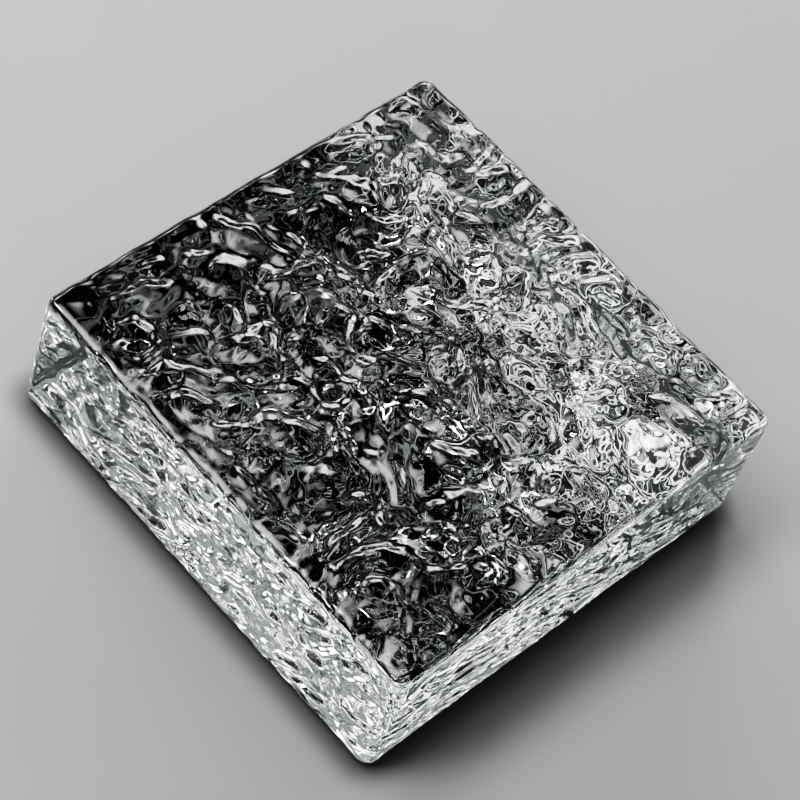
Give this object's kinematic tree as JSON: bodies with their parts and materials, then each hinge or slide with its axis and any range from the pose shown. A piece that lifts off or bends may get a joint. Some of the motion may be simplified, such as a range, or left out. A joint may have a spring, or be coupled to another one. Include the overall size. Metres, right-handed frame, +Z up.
{
  "type": "glass block",
  "caption": "Solid square block of clear pressed glass with an ice-ripple relief on both broad faces and plain flat sides for bedding.",
  "frame": {"origin": "middle of the block's footprint, level with the highest ripples of the underside, on which it lies", "axes": "+Z up through the thickness, out of the upper rippled face; X and Y along the two pairs of plain sides"},
  "size_m": [0.15, 0.15, 0.05],
  "materials": {
    "clear_glass": "clear fire-polished glass, faintly green in the thickness, with a pressed ice-ripple relief on both broad faces"
  },
  "bodies": {
    "root": {"glass_block": "clear_glass"}
  },
  "joints": []
}
